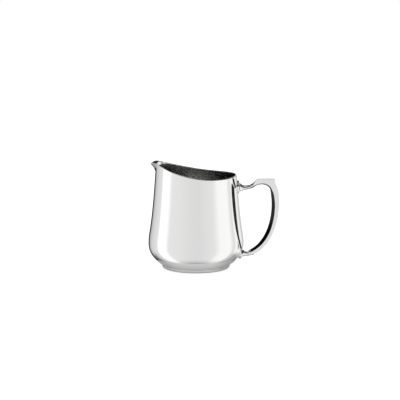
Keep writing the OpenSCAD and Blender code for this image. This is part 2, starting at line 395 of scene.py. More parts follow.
def polish_group():
    """Fine polishing lines, soft handling marks and thin tarnish of a polished metal."""
    if "polish marks" in bpy.data.node_groups:
        return bpy.data.node_groups["polish marks"]
    tree = bpy.data.node_groups.new("polish marks", "ShaderNodeTree")
    inputs = (
        ("Metal Colour", "Color", (0.9, 0.9, 0.9, 1.0)),
        ("Tarnish Colour", "Color", (0.4, 0.4, 0.35, 1.0)),
        ("Tarnish", "Float", 0.3),
        ("Polish", "Float", 0.05),
        ("Handling", "Float", 0.02),
        ("Line Scale", "Vector", (60.0, 60.0, 2600.0)),
        ("Line Depth", "Float", 0.5),
    )
    add_sockets(tree, "INPUT", inputs)
    add_sockets(tree, "OUTPUT", (("Colour", "Color"), ("Roughness", "Float"), ("Height", "Float")))
    given = add_node(tree, "NodeGroupInput").outputs
    place = add_node(tree, "ShaderNodeTexCoord").outputs["Object"]

    stretched = {0: place, 1: given["Line Scale"]}
    stretch = add_node(tree, "ShaderNodeVectorMath", stretched, operation="MULTIPLY")
    height = maths(tree, "MULTIPLY", noise(tree, stretch.outputs[0], *LINES), given["Line Depth"])

    smears = {"Value": noise(tree, place, *SMEARS), "From Min": 0.35, "From Max": 0.75}
    spread = add_node(tree, "ShaderNodeMapRange", smears)
    marks = maths(tree, "MULTIPLY", spread.outputs[0], given["Handling"])
    roughness = maths(tree, "ADD", given["Polish"], marks)

    reach = {"Distance": CORNER_REACH}
    corners = add_node(tree, "ShaderNodeAmbientOcclusion", reach, samples=6, only_local=False)
    shelter = maths(tree, "SUBTRACT", 1.0, corners.outputs["AO"])
    film = maths(tree, "MULTIPLY", maths(tree, "POWER", shelter, 1.6), given["Tarnish"])
    colours = {"Factor": film, 6: given["Metal Colour"], 7: given["Tarnish Colour"]}
    tint = add_node(tree, "ShaderNodeMix", colours, data_type="RGBA", clamp_factor=True)
    results = {"Colour": tint.outputs[2], "Roughness": roughness, "Height": height}
    add_node(tree, "NodeGroupOutput", results)
    return tree


def metal(name):
    """One of the jug's metals, with the shared marks at its own strength."""
    if name in bpy.data.materials:
        return bpy.data.materials[name]
    tone_name, polish_name, tarnish, line_scale, line_depth = METALS[name]
    finish = bpy.context.scene.cream_jug_finish
    tone = (*getattr(finish, tone_name), 1.0)
    material = bpy.data.materials.new(name)
    material.use_nodes = True
    material.diffuse_color = tone
    tree = material.node_tree
    inputs = {
        "Metal Colour": tone,
        "Tarnish Colour": (*finish.tarnish, 1.0),
        "Tarnish": tarnish,
        "Polish": getattr(finish, polish_name),
        "Line Scale": line_scale,
        "Line Depth": line_depth,
    }
    marks = add_node(tree, "ShaderNodeGroup", inputs, node_tree=polish_group())
    lines = {"Strength": LINE_STRENGTH, "Distance": LINE_HEIGHT, "Height": marks.outputs["Height"]}
    bump = add_node(tree, "ShaderNodeBump", lines)
    surface = tree.nodes["Principled BSDF"]
    surface.inputs["Metallic"].default_value = 1.0
    tree.links.new(marks.outputs["Colour"], surface.inputs["Base Color"])
    tree.links.new(marks.outputs["Roughness"], surface.inputs["Roughness"])
    tree.links.new(bump.outputs["Normal"], surface.inputs["Normal"])
    return material


# ---------------------------------------------------------------- raised shell

TABLE_STEPS = 1500
LOWER_STEPS = 44
UPPER_STEPS = 80
RIM_STEPS = 10
INSIDE_STEPS = 68
FLOOR_STEPS = 10
CORNER_STEPS = 5
STOCK_ABOVE_RIM = 16.0 * MM
BASE_EDGE_SHARE = 0.12
BASE_ROUNDING = 0.45 * MM
INNER_EDGE = 1.5 * MM
INNER_ROUNDING = 1.6 * MM
SETTLE_STEPS = 26
SETTLE_SHARE = 0.7
# A column of points meets the pouring lip only where the lip's nose is out by this share of its
# place, and within this angle of the lip's side
LIP_ROOT_SHARE = 0.7
LIP_SWING = 0.8


class ShellOutline:
    """Half section of the raised shell, looked up by height."""

    def __init__(self, sizes, rim):
        base = sizes.base_radius
        belly = sizes.belly_radius
        foot = sizes.base_height
        level = sizes.belly_height
        self.wall = sizes.wall
        self.lower_curve = [
            (base, foot),
            (base + 0.3 * MM, foot + 0.9 * MM),
            (belly, foot + 5.6 * MM),
            (belly, level),
        ]
        upper_curve = [
            (belly, level),
            (belly, level + 12 * MM),
            (sizes.mouth_radius + 3.6 * MM, level + 8 * MM),
            (sizes.mouth_radius - 0.3 * MM, rim.low_height + STOCK_ABOVE_RIM),
        ]
        parts = [n / (TABLE_STEPS - 1) for n in range(TABLE_STEPS)]
        places = [(curve, part) for curve in (self.lower_curve, upper_curve) for part in parts]
        self.outer_radii, self.outer_heights = zip(*(cubic(*place) for place in places))
        self.inner_radii, self.inner_heights = zip(*(self.inner_point(*place) for place in places))

    def inner_point(self, curve, part):
        """Radius and height of the inner face, one wall away from the outer one."""
        point = cubic(curve, part)
        heading = cubic_heading(curve, part)
        return Vector((point[0] - self.wall * heading[1], point[1] + self.wall * heading[0]))

    def radius(self, height, inside=False):
        """Radius of the outer or the inner face at a height."""
        heights = self.inner_heights if inside else self.outer_heights
        radii = self.inner_radii if inside else self.outer_radii
        place = min(max(bisect.bisect_left(heights, height), 1), len(heights) - 1)
        low, high = heights[place - 1], heights[place]
        part = (height - low) / (high - low) if high > low else 0.0
        return mix(radii[place - 1], radii[place], limited(part))


class PulledLip:
    """Plan of the pouring lip: a rounded nose between two straight sides, leaning in below."""

    def __init__(self, sizes, rim):
        clearance = 0.4 * MM
        self.nose_radius = rim.nose_radius
        self.nose_place = sizes.mouth_radius + clearance + rim.lip_reach - rim.nose_radius
        root_out = sizes.mouth_radius * math.cos(rim.lip_half_angle)
        root_side = sizes.mouth_radius * math.sin(rim.lip_half_angle)
        away = math.hypot(root_out - self.nose_place, root_side)
        towards_root = math.atan2(root_side, root_out - self.nose_place)
        self.side_angle = towards_root - math.acos(rim.nose_radius / away)
        self.level = rim.crest_height - rim.lip_dip
        self.lean = (rim.lip_reach - 0.1 * MM) / (rim.lip_drop - rim.lip_dip)

    def radius(self, turn, height, inset):
        """Distance of the lip's side from the jug's axis, at an angle from the lip's middle."""
        place = self.nose_place - self.lean * (self.level - height)
        nose = self.nose_radius - inset
        turn = abs(turn)
        if place < LIP_ROOT_SHARE * self.nose_place or turn > self.side_angle + LIP_SWING:
            return 0.0
        touch = math.atan2(nose * math.sin(self.side_angle), place + nose * math.cos(self.side_angle))
        if turn < touch:
            return place * math.cos(turn) + math.sqrt(max(nose**2 - (place * math.sin(turn)) ** 2, 0.0))
        square = place * math.cos(self.side_angle) + nose
        side = square / math.cos(turn - self.side_angle)
        return side if turn < self.side_angle else 2 * square - side


def column_angles():
    """Angles round the axis, closer together at the pouring lip."""
    turns = [0.0]
    for limit, step in ((4, 0.25), (12, 0.5), (46, 1.0), (180, 2.0)):
        while turns[-1] < limit - 1e-6:
            turns.append(turns[-1] + step)
    half = [math.radians(turn) for turn in turns]
    return [-turn for turn in reversed(half[1:-1])] + half


class ShellWalls:
    """The shell's outer and inner wall, with the lip drawn out of them."""

    def __init__(self, sizes, rim):
        self.sizes = sizes
        self.rim = rim
        self.outline = ShellOutline(sizes, rim)
        self.lip = PulledLip(sizes, rim)
        self.outside_rows = 0

    def radius(self, turn, height, inside):
        """Distance from the axis at a turn from the lip's middle."""
        inset = self.sizes.wall if inside else 0.0
        plain = self.outline.radius(height, inside)
        return soft_max(plain, self.lip.radius(turn, height, inset), self.rim.lip_blend)

    def cut_height(self, outwards):
        """Height of the rim's cut at a distance from the axis towards the lip."""
        rim = self.rim
        across = outwards + rim.low_place
        sweep = rim.low_height + rim.sweep_radius - math.sqrt(rim.sweep_radius**2 - across**2)
        beyond = outwards - self.sizes.mouth_radius - 0.3 * MM
        dip = rim.crest_height - rim.lip_dip * beyond / rim.lip_reach
        return -soft_max(-sweep, -dip, 2.0 * MM)

    def settle(self, turn, inner_share, drop):
        """Radius and height of a rim point: its share of the way in, and its drop below the cut."""
        height = self.rim.low_height
        radius = 0.0
        for _ in range(SETTLE_STEPS):
            outer = self.radius(turn, height, False)
            inner = self.radius(turn, height, True)
            radius = mix(outer, inner, inner_share)
            cut = self.cut_height(radius * math.cos(turn))
            height = mix(height, cut - drop, SETTLE_SHARE)
        return radius, height

    def wall_rows(self, turn, parts, inside):
        """Rows of one face of the upper wall, at parts of its height."""
        top = self.settle(turn, float(inside), self.sizes.edge_round)[1]
        heights = [mix(self.sizes.belly_height, top, part * (1.5 - 0.5 * part)) for part in parts]
        return [(self.radius(turn, height, inside), height) for height in heights]

    def base_rows(self, edge, level):
        """Rows of one face of the base, pressed up in the middle, from near the axis outwards."""
        radii = [edge * n / FLOOR_STEPS for n in range(1, FLOOR_STEPS + 1)]
        dish = self.sizes.base_dish
        return [(radius, level + dish * (1 - (radius / edge) ** 2) ** 2) for radius in radii]

    def column(self, turn):
        """Radius and height of every row of points, from the base's middle to the inner floor's."""
        sizes = self.sizes
        lower = self.outline.lower_curve
        foot = sizes.base_height
        flat_edge = sizes.base_radius - sizes.foot_width
        rows = self.base_rows(flat_edge, foot)
        under_edge = Vector((sizes.base_radius, foot))
        corner = [Vector((flat_edge, foot)), under_edge, cubic(lower, BASE_EDGE_SHARE)]
        rows += rounded(corner, [0, BASE_ROUNDING, 0], CORNER_STEPS, False)[1:-1]
        parts = [mix(BASE_EDGE_SHARE, 1.0, n / LOWER_STEPS) for n in range(LOWER_STEPS + 1)]
        rows += [cubic(lower, part) for part in parts]
        rows += self.wall_rows(turn, [n / UPPER_STEPS for n in range(1, UPPER_STEPS + 1)], False)
        for n in range(1, RIM_STEPS):
            swing = math.pi * n / RIM_STEPS
            drop = sizes.edge_round * (1 - math.sin(swing) ** 0.75)
            rows.append(self.settle(turn, (1 - math.cos(swing)) / 2, drop))
        self.outside_rows = len(rows) - RIM_STEPS // 2
        rows += self.wall_rows(turn, [1 - n / INSIDE_STEPS for n in range(INSIDE_STEPS)], True)
        floor = foot + sizes.wall
        inner = [self.outline.inner_point(lower, 1 - n / LOWER_STEPS) for n in range(LOWER_STEPS)]
        inner = [point for point in inner if point[1] > floor + INNER_EDGE]
        flat_edge = inner[-1][0] - 3.5 * MM
        corner = [inner[-1], Vector((inner[-1][0] - 1.3 * MM, floor)), Vector((flat_edge, floor))]
        rows += inner + rounded(corner, [0, INNER_ROUNDING, 0], CORNER_STEPS, False)[1:]
        return rows + self.base_rows(flat_edge, floor)[-2::-1]


def shell_mesh(sizes, rim):
    """The whole raised shell as one closed mesh, with the inside in its own finish."""
    walls = ShellWalls(sizes, rim)
    turns = column_angles()
    columns = {turn: walls.column(turn) for turn in turns if turn >= 0}
    rings = []
    for row in range(len(columns[0.0])):
        ring = []
        for turn in turns:
            radius, height = columns[abs(turn)][row]
            ring.append((-radius * math.cos(turn), radius * math.sin(turn), height))
        rings.append(ring)
    under = (0.0, 0.0, sizes.base_height + sizes.base_dish)
    floor = (0.0, 0.0, sizes.base_height + sizes.wall + sizes.base_dish)
    mesh = skin_rings("body_shell", rings, under, floor)
    mesh.materials.append(metal("polished_plate"))
    mesh.materials.append(metal("inside_plate"))

    first_inside = walls.outside_rows * len(turns)
    last_quad = (len(rings) - 1) * len(turns)
    for face in mesh.polygons:
        inside_end = face.index >= last_quad and (face.index - last_quad) % 2 == 1
        if first_inside <= face.index < last_quad or inside_end:
            face.material_index = 1
    return mesh


class CREAMJUG_OT_shell(bpy.types.Operator):
    """Raise the round shell and pull its pouring lip"""

    bl_idname = "cream_jug.shell"
    bl_label = "Raised shell"

    def execute(self, context):
        scene = context.scene
        mesh = shell_mesh(scene.cream_jug_shell, scene.cream_jug_rim)
        add_piece(mesh, "body")
        return {"FINISHED"}


# ---------------------------------------------------------------- turned pieces

# The rounding of a hidden edge, and the space or the overlap where two pieces meet
HAIR = 0.02 * MM
# How deep the back of a collar is bedded in the shell, and the search for the place of its points
BEDDING = 0.03 * MM
SEARCH_REACH = 4 * MM
SEARCH_STEPS = 40


def turning_tree():
    """Geometry nodes that turn a half section about an axis and seat the result."""
    if "turned piece" in bpy.data.node_groups:
        return bpy.data.node_groups["turned piece"]
    tree = bpy.data.node_groups.new("turned piece", "GeometryNodeTree")
    tree.is_modifier = True
    inputs = (
        ("Half Section", "Geometry"),
        ("Steps Around", "Int", 72),
        ("Turn", "Vector"),
        ("Seat", "Vector"),
        ("Finish", "Material"),
    )
    add_sockets(tree, "INPUT", inputs)
    add_sockets(tree, "OUTPUT", (("Piece", "Geometry"),))
    given = add_node(tree, "NodeGroupInput").outputs
    section = given["Half Section"]

    size = add_node(tree, "GeometryNodeAttributeDomainSize", {0: section}, component="MESH")
    count = size.outputs["Point Count"]
    columns = maths(tree, "ADD", given["Steps Around"], 1.0)
    square = {"Size X": 1.0, "Size Y": 1.0, "Vertices X": columns, "Vertices Y": count}
    grid = add_node(tree, "GeometryNodeMeshGrid", square)

    position = add_node(tree, "GeometryNodeInputPosition").outputs[0]
    place = add_node(tree, "ShaderNodeSeparateXYZ", {0: position}).outputs
    swing = maths(tree, "MULTIPLY", maths(tree, "ADD", place["X"], 0.5), 2 * math.pi)
    last_row = maths(tree, "SUBTRACT", count, 1.0)
    row = maths(tree, "MULTIPLY", maths(tree, "ADD", place["Y"], 0.5), last_row)

    wanted = {"Geometry": section, "Value": position, "Index": maths(tree, "ROUND", row)}
    sample = add_node(tree, "GeometryNodeSampleIndex", wanted, data_type="FLOAT_VECTOR", domain="POINT")
    half = add_node(tree, "ShaderNodeSeparateXYZ", {0: sample.outputs[0]}).outputs
    across = {
        "X": maths(tree, "MULTIPLY", half["X"], maths(tree, "COSINE", swing)),
        "Y": maths(tree, "MULTIPLY", half["X"], maths(tree, "SINE", swing)),
        "Z": half["Z"],
    }
    around = add_node(tree, "ShaderNodeCombineXYZ", across)
    leaning = {"Vector": around.outputs[0], "Rotation": given["Turn"]}
    turned = add_node(tree, "ShaderNodeVectorRotate", leaning, rotation_type="EULER_XYZ")
    moved = {0: turned.outputs[0], 1: given["Seat"]}
    seated = add_node(tree, "ShaderNodeVectorMath", moved, operation="ADD")

    placed = {"Geometry": grid.outputs["Mesh"], "Position": seated.outputs[0]}
    shape = add_node(tree, "GeometryNodeSetPosition", placed)
    merged = {"Geometry": shape.outputs[0], "Distance": 0.0005 * MM}
    closed = add_node(tree, "GeometryNodeMergeByDistance", merged)
    solid = add_node(tree, "GeometryNodeRealizeInstances", {"Geometry": closed.outputs[0]})
    dressed = {"Geometry": solid.outputs[0], "Material": given["Finish"]}
    finish = add_node(tree, "GeometryNodeSetMaterial", dressed)
    add_node(tree, "NodeGroupOutput", {"Piece": finish.outputs[0]})
    return tree


def set_inputs(modifier, values):
    """Sets geometry nodes inputs by the identifiers of their named sockets."""
    sockets = {}
    for item in modifier.node_group.interface.items_tree:
        if item.item_type == "SOCKET" and item.in_out == "INPUT":
            sockets[item.name] = item.identifier
    for name, value in values.items():
        modifier[sockets[name]] = value


def turned_mesh(name, section, turn, seat, finish, steps):
    """Turns a half section of (radius, height) points and returns a plain mesh."""
    outline = bpy.data.meshes.new(name + "_section")
    outline.from_pydata([(radius, 0.0, height) for radius, height in section], [], [])
    blank = bpy.data.objects.new(name + "_blank", outline)
    bpy.context.scene.collection.objects.link(blank)
    modifier = blank.modifiers.new("turning", "NODES")
    modifier.node_group = turning_tree()
    values = {"Steps Around": steps, "Turn": turn, "Seat": tuple(seat), "Finish": metal(finish)}
    set_inputs(modifier, values)

    blank.update_tag()
    graph = bpy.context.evaluated_depsgraph_get()
    mesh = bpy.data.meshes.new_from_object(
        blank.evaluated_get(graph), preserve_all_data_layers=True, depsgraph=graph
    )
    mesh.name = name
    blank.modifiers.remove(modifier)
    bpy.data.objects.remove(blank)
    bpy.data.meshes.remove(outline)
    if not mesh.polygons:
        raise RuntimeError(name + " has no faces")
    return mesh


def section_path(corners, cuts, steps):

    """A closed half section with its corners rounded, ending where it starts."""
    path = rounded([Vector(corner) for corner in corners], cuts, steps, True)
    path.append(path[0])
    return [tuple(point) for point in path]


def seat_back(mesh, seat, axis, deepest, outline):
    """Moves the back of a collar along its axis until it lies on the shell."""
    direction = Vector(axis).normalized()
    origin = Vector(seat)
    for vertex in mesh.vertices:
        if (vertex.co - origin).dot(direction) > deepest:
            continue
        low, high = -SEARCH_REACH, SEARCH_REACH
        for _ in range(SEARCH_STEPS):
            middle = (low + high) / 2
            point = vertex.co + direction * middle
            inside = math.hypot(point.x, point.y) < outline.radius(point.z)
            low, high = (middle, high) if inside else (low, middle)
        vertex.co += direction * (low - BEDDING)
    mesh.update()


class CREAMJUG_OT_foot(bpy.types.Operator):
    """Turn the low foot ring that is soldered under the base"""

    bl_idname = "cream_jug.foot"
    bl_label = "Foot ring"

    def execute(self, context):
        sizes = context.scene.cream_jug_shell
        swell = [
            (sizes.foot_radius, 0.0),
            (sizes.foot_radius + 1.5 * MM, 0.5 * MM),
            (sizes.base_radius, sizes.base_height * 0.5),
            (sizes.base_radius, sizes.base_height),
        ]
        inner = sizes.foot_radius - sizes.foot_width
        corners = [(inner, 0.0), *sampled(swell, 14), (inner, sizes.base_height)]
        section = section_path(corners, [sizes.foot_edge] * len(corners), 4)
        centre = (0.0, 0.0, 0.0)
        mesh = turned_mesh("foot_ring_turned", section, centre, centre, "polished_plate", 180)
        add_piece(mesh, "foot_ring")
        return {"FINISHED"}


class CREAMJUG_OT_collars(bpy.types.Operator):
    """Turn the two collars and the barrel that carry the handle"""

    bl_idname = "cream_jug.collars"
    bl_label = "Collars and barrel"

    def execute(self, context):
        scene = context.scene
        sizes = scene.cream_jug_joints
        handle = scene.cream_jug_handle
        outline = ShellOutline(scene.cream_jug_shell, scene.cream_jug_rim)
        self.upper(sizes, handle, outline)
        self.lower(sizes, handle, outline)
        return {"FINISHED"}

    def collar(self, name, node, face, rounding, back, seat, tilt, outline):
        """A collar with its face at its seat, and its back shaped to lie on the shell."""
        sizes = bpy.context.scene.cream_jug_joints
        hole = sizes.stud_radius + sizes.stud_gap
        reach = face[-1][0]
        face = [(hole, 0.0), *face]
        cuts = [0.1 * MM] + [rounding] * (len(face) - 1) + [HAIR, HAIR]
        section = section_path([*face, (reach, back), (hole, back)], cuts, 3)
        turn = (0.0, math.pi / 2 + tilt, 0.0)
        mesh = turned_mesh(name, section, turn, seat, "polished_plate", sizes.steps_around)
        axis = (math.cos(tilt), 0.0, -math.sin(tilt))
        seat_back(mesh, seat, axis, back + 0.05 * MM, outline)
        add_piece(mesh, node)

    def upper(self, sizes, handle, outline):
        """The domed bead between the handle's upper end and the wall."""
        reach = sizes.upper_collar_radius
        dome = [
            (0.0, 0.0),
            (reach - 1.6 * MM, 0.0),
            (reach - 0.2 * MM, -0.4 * MM),
            (reach, -sizes.upper_collar_height),
        ]
        clear = sizes.stud_radius + sizes.stud_gap + 0.3 * MM
        face = [point for point in sampled(dome, 18) if point[0] > clear]
        back = -sizes.upper_collar_height - 0.5 * MM
        seat = (handle.seat_place - HAIR, 0.0, handle.upper_height)
        self.collar("upper_bead", "upper_collar", face, 0.4 * MM, back, seat, 0.0, outline)

    def lower(self, sizes, handle, outline):
        """The tilted flange on the belly, and the barrel that stands on it."""
        level = handle.lower_height
        step = 0.2 * MM
        slope = (outline.radius(level + step) - outline.radius(level - step)) / (2 * step)
        tilt = math.atan(slope)
        axis = Vector((math.cos(tilt), 0.0, -math.sin(tilt)))
        seat = Vector((outline.radius(level), 0.0, level)) + axis * sizes.lower_collar_height
        reach = sizes.lower_collar_radius
        edge = [
            (reach - 1.3 * MM, 0.0),
            (reach - 0.5 * MM, -0.03 * MM),
            (reach, -0.4 * MM),
            (reach, -1.2 * MM),
        ]
        back = -sizes.lower_collar_height - 0.4 * MM
        face = sampled(edge, 10)
        self.collar("lower_flange", "lower_collar", face, 0.3 * MM, back, seat, tilt, outline)
        self.barrel(sizes, handle, seat, axis)

    def barrel(self, sizes, handle, face_point, face_axis):
        """The short tapered barrel, with its first end cut to the flange's face."""
        hole = sizes.stud_radius + sizes.stud_gap
        radius = sizes.barrel_radius
        end_bead = radius + 0.12 * MM
        start = BARREL_LOW.x
        run = handle.tail_place - start
        corners = [
            (hole, 0.0),
            (radius + sizes.barrel_flare, 0.0),
            (radius - 0.05 * MM, run - 1.3 * MM),
            (radius - 0.2 * MM, run - 1.0 * MM),
            (end_bead, run - 0.75 * MM),
            (end_bead, run),
            (hole, run),
        ]
        cuts = [HAIR, HAIR, 0.3 * MM, 0.15 * MM, 0.15 * MM, 0.16 * MM, 0.05 * MM]
        seat = (start, 0.0, handle.lower_height)
        turn = (0.0, math.pi / 2, 0.0)
        section = section_path(corners, cuts, 4)
        mesh = turned_mesh("lower_barrel", section, turn, seat, "polished_plate", sizes.steps_around)
        for vertex in mesh.vertices:
            short = (vertex.co - face_point).dot(face_axis)
            if short < 0.0:
                vertex.co.x -= (short + HAIR) / face_axis.x
        add_piece(mesh, "lower_ferrule")


class CREAMJUG_OT_pegs(bpy.types.Operator):
    """Finish the two pegs and turn the cross pins that hold the handle on them"""

    bl_idname = "cream_jug.pegs"
    bl_label = "Pegs and pins"

    def execute(self, context):
        for node in ("upper_stud", "lower_stud"):
            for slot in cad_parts[node].material_slots:
                slot.material = metal("peg_wire")
        for node in ("upper_pin", "lower_pin"):
            self.pin(node, context.scene.cream_jug_joints.pin_dome)
        return {"FINISHED"}

    def pin(self, node, dome):
        """A cross pin with a rounded end on each side."""
        low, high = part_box(node)
        radius = (high.x - low.x) / 2
        half = (high.y - low.y) / 2
        tip = [
            (radius, half - 0.05 * MM),
            (radius, half + dome * 0.7),
            (radius * 0.6, half + dome),
            (0.0, half + dome),
        ]
        end = sampled(tip, 8)
        section = [(r, -h) for r, h in reversed(end)] + end
        turn = (-math.pi / 2, 0.0, 0.0)
        mesh = turned_mesh(node + "_rounded", section, turn, middle_of(node), "peg_wire", 32)
        add_piece(mesh, node)


# ---------------------------------------------------------------- cast handle

STATION_STEP = 0.32 * MM
SMOOTHING = 2
EDGE_STEPS = 5
ROUND_SECTION = ((0.0, 0.38), (0.14, 0.78), (0.5, 1.0), (0.86, 0.78), (1.0, 0.38))
RIDGE = 0.97
FLAT_CUTS = (0.12 * MM, 0.12 * MM, 0.25 * MM, 0.4 * MM, 0.2 * MM)
ROUND_CUT = 3.0 * MM
LENGTH_STEPS = 20
SPARE_DEPTH = 0.5 * MM
ROOT_CHAMFER = 0.2 * MM
# From this flatness on, the bevels carry the near-black painted reflection
PAINTED_REFLECTION_FROM = 0.35


def handle_paths(s):
    """Outer and inner edge of the handle's side view, each as four curves of (x, z)."""
    root = s.seat_place - 1.6 * MM
    start = root + s.arm_length
    end = start + s.thumb_length
    up = s.upper_height
    out = s.outer_place
    grip = (s.upper_height + s.lower_height) / 2
    low = s.lower_height
    top = s.thumb_height
    outer = [
        (s.seat_place, up + s.root_half_height),
        (root + 4.9 * MM, up - 0.7 * MM),
        (start - 3 * MM, up + 1.8 * MM),
        (start, top),
        (start + 5 * MM, top),
        (end - 5 * MM, top),
        (end, top),
        (end, top - 4.5 * MM),
        (out - 1.6 * MM, up + 0.4 * MM),
        (out - 0.9 * MM, up - 2.4 * MM),
        (out + 2.4 * MM, grip + 5.2 * MM),
        (out - 4.7 * MM, low + 3.7 * MM),
        (s.tail_place, low - 1.7 * MM),
    ]
    inner = [
        (s.seat_place, up - s.root_half_height),
        (root + 4.3 * MM, up - 1.7 * MM),
        (start - 5.1 * MM, up - 2.5 * MM),
        (start - 0.4 * MM, up + 0.7 * MM),
        (start + 2.8 * MM, up + 2.8 * MM),
        (out - 10.5 * MM, up + 3 * MM),
        (out - 7.7 * MM, up - 1.6 * MM),
        (out - 7.4 * MM, up - 3.2 * MM),
        (out - 7.2 * MM, up - 4.8 * MM),
        (out - 7 * MM, up - 6.5 * MM),
        (out - 4.4 * MM, grip + 3.2 * MM),
        (out - 10.6 * MM, low + 9.3 * MM),
        (s.tail_place, low + 3.1 * MM),
    ]
    return [[edge[k : k + 4] for k in range(0, 12, 3)] for edge in (outer, inner)]


def half_width(s, limb, part):
    """Half the handle's width along each of its four limbs."""
    if limb == 0:
        flare = (s.root_half_height - s.neck_half_width) * (1 - part) ** 6
        widening = (s.thumb_half_width - s.neck_half_width) * part * part * (3 - 2 * part)
        return s.neck_half_width + flare + widening
    if limb < 3:
        return s.thumb_half_width
    if part < 0.5:
        return mix(s.thumb_half_width, s.grip_half_width, 2 * part)
    return mix(s.grip_half_width, s.tail_half_width, (2 * part - 1) ** 1.5)


def flatness(limb, part):
    """How flat-sided the section is: 0 is round and 1 is flat with a bevelled inner side."""
    if limb == 0:
        return part**3
    if limb < 3:
        return 1.0
    return min(1.0, (1 - part) * 8)


def bevel_share(limb, part):
    """How much of its full depth the bevel has: it starts as a thin edge under the thumb rest."""
    if limb < 2:
        return 0.5
    if limb == 2:
        return mix(0.5, 0.85, part)
    return min(1.0, 0.85 + part)


def handle_stations(s):
    """Outer edge, inner edge, half width, flatness and share of the bevel along the handle."""
    outer, inner = handle_paths(s)
    stations = []
    for limb in range(4):
        marks = [cubic(outer[limb], n / LENGTH_STEPS) for n in range(LENGTH_STEPS + 1)]
        run = sum((after - before).length for before, after in zip(marks, marks[1:]))

        count = max(8, round(run / STATION_STEP))
        for n in range(count if limb < 3 else count + 1):
            part = n / count
            far = cubic(outer[limb], part)
            near = cubic(inner[limb], part)
            shape = (half_width(s, limb, part), flatness(limb, part), bevel_share(limb, part))
            stations.append((*far, *near, *shape))
    smooth = []
    for k in range(len(stations)):
        reach = min(SMOOTHING, k, len(stations) - 1 - k)
        near = stations[k - reach : k + reach + 1]
        smooth.append([sum(values) / len(near) for values in zip(*near)])
    return smooth


def handle_ring(station, bevel_angle):
    """Closed ring of points round the handle at one station."""
    far_x, far_z, near_x, near_z, width, flat, bevelled = station
    thickness = math.hypot(near_x - far_x, near_z - far_z)
    bevel = bevelled * min(0.95 * width / math.tan(bevel_angle) / thickness, 0.6)
    flat_section = ((0.0, 0.975), (0.015, 1.0), (RIDGE - bevel, 1.0), (RIDGE, 0.05), (0.98, 0.02))
    side = []
    for (u, w), (flat_u, flat_w) in zip(ROUND_SECTION, flat_section):
        depth = mix(u, flat_u, flat)
        reach = mix(w, flat_w, flat) * width
        side.append(Vector((mix(far_x, near_x, depth), -reach, mix(far_z, near_z, depth))))
    other = [Vector((point.x, -point.y, point.z)) for point in reversed(side)]
    cuts = [mix(ROUND_CUT, cut, min(1.0, flat * 1.05)) for cut in FLAT_CUTS]
    return rounded(side + other, cuts + list(reversed(cuts)), EDGE_STEPS, True)


def paint_reflection_on_bevels(mesh, stations, first_ring):
    """Gives the bevels the near-black painted reflection where the handle is flat sided.

    A ring has ten rounded corners of eight points each. The bevels lie between the third
    corner and the eighth one.
    """
    corner = EDGE_STEPS + 3
    around = 10 * corner
    for n, station in enumerate(stations[:-1]):
        if station[5] < PAINTED_REFLECTION_FROM:
            continue
        start = (first_ring + n) * around
        for k in range(3 * corner - 3, 7 * corner + 2):
            mesh.polygons[start + k].material_index = 1


def bored_end(ring, centre, radius, depth):
    """Rings of a blind hole in an end of the handle, from its face to its bottom."""
    spokes = []
    for point in ring:
        spoke = Vector((0.0, point.y - centre.y, point.z - centre.z))
        spokes.append(spoke.normalized() * radius)
    mouth = [centre + spoke for spoke in spokes]
    bottom = [centre + spoke + Vector((depth, 0.0, 0.0)) for spoke in spokes]
    return [mouth, bottom]


class CREAMJUG_OT_handle(bpy.types.Operator):
    """Cast the loop handle with its thumb rest and its two blind holes"""

    bl_idname = "cream_jug.handle"
    bl_label = "Cast handle"

    def execute(self, context):
        sizes = context.scene.cream_jug_handle
        joints = context.scene.cream_jug_joints
        stations = handle_stations(sizes)
        rings = [handle_ring(station, sizes.bevel_angle) for station in stations]
        hole = joints.stud_radius + joints.stud_gap
        upper = Vector((sizes.seat_place, 0.0, sizes.upper_height))
        lower = Vector((sizes.tail_place, 0.0, sizes.lower_height))
        ends = (
            (0, upper, joints.upper_stud_reach + SPARE_DEPTH, ROOT_CHAMFER),
            (-1, lower, joints.lower_stud_reach + SPARE_DEPTH, sizes.end_chamfer),
        )
        bores = []
        bottoms = []
        for end, centre, depth, chamfer in ends:
            ring = rings[end]
            bores.append(bored_end(ring, centre, hole, depth))
            bottoms.append(centre + Vector((depth, 0.0, 0.0)))
            rings[end] = [point + (centre - point).normalized() * chamfer for point in ring]
        first, last = bores
        mesh = skin_rings("handle_casting", first[::-1] + rings + last, *bottoms)
        mesh.materials.append(metal("polished_casting"))
        # The second finish is a painted dark reflection on the bevels, not a darkened casting
        mesh.materials.append(metal("painted_reflection_casting"))
        paint_reflection_on_bevels(mesh, stations, len(first))
        add_piece(mesh, "handle")
        return {"FINISHED"}


# ---------------------------------------------------------------- stage

# How bright the tent's panels are, by the angle round the jug from the camera's side

TENT_PANELS = (
    (-180, 1.1), (-168, 1.1), (-163, 0.0), (-153, 0.0), (-144, 0.45), (-136, 0.62),
    (-122, 0.74), (-106, 0.8), (-100, 1.15), (-80, 1.15), (-67, 0.84), (-40, 0.81),
    (-10, 0.76), (8, 0.75), (26, 0.79), (44, 0.82), (60, 1.0), (88, 1.02),
    (100, 0.8), (104, 0.78), (109, 0.98), (134, 0.95), (142, 0.82), (147, 0.58),
    (160, 0.68), (172, 0.75), (180, 1.1),
)

# By the angle above the floor: how much of the panels' light the tent gives, the even light
# added to it, and how much of both is left behind the jug

TENT_ROWS = (
    (-89, 0.0, 0.3, 1.0), (-80, 0.0, 0.36, 1.0), (-72, 0.1, 0.5, 0.35), (-58, 0.75, 0.15, 0.4),
    (-48, 1.0, 0.0, 0.4), (-29, 1.0, 0.0, 0.4), (-19, 1.0, 0.0, 1.0), (18, 1.0, 0.0, 1.0),
    (22, 0.0, 0.02, 1.0), (48, 0.0, 0.02, 0.05), (52, 0.0, 0.5, 0.05), (60, 0.0, 0.5, 0.05),
    (64, 0.0, 0.02, 0.05), (72, 0.0, 0.02, 1.0), (77, 0.0, 0.9, 1.0), (89, 0.0, 0.95, 1.0),
)

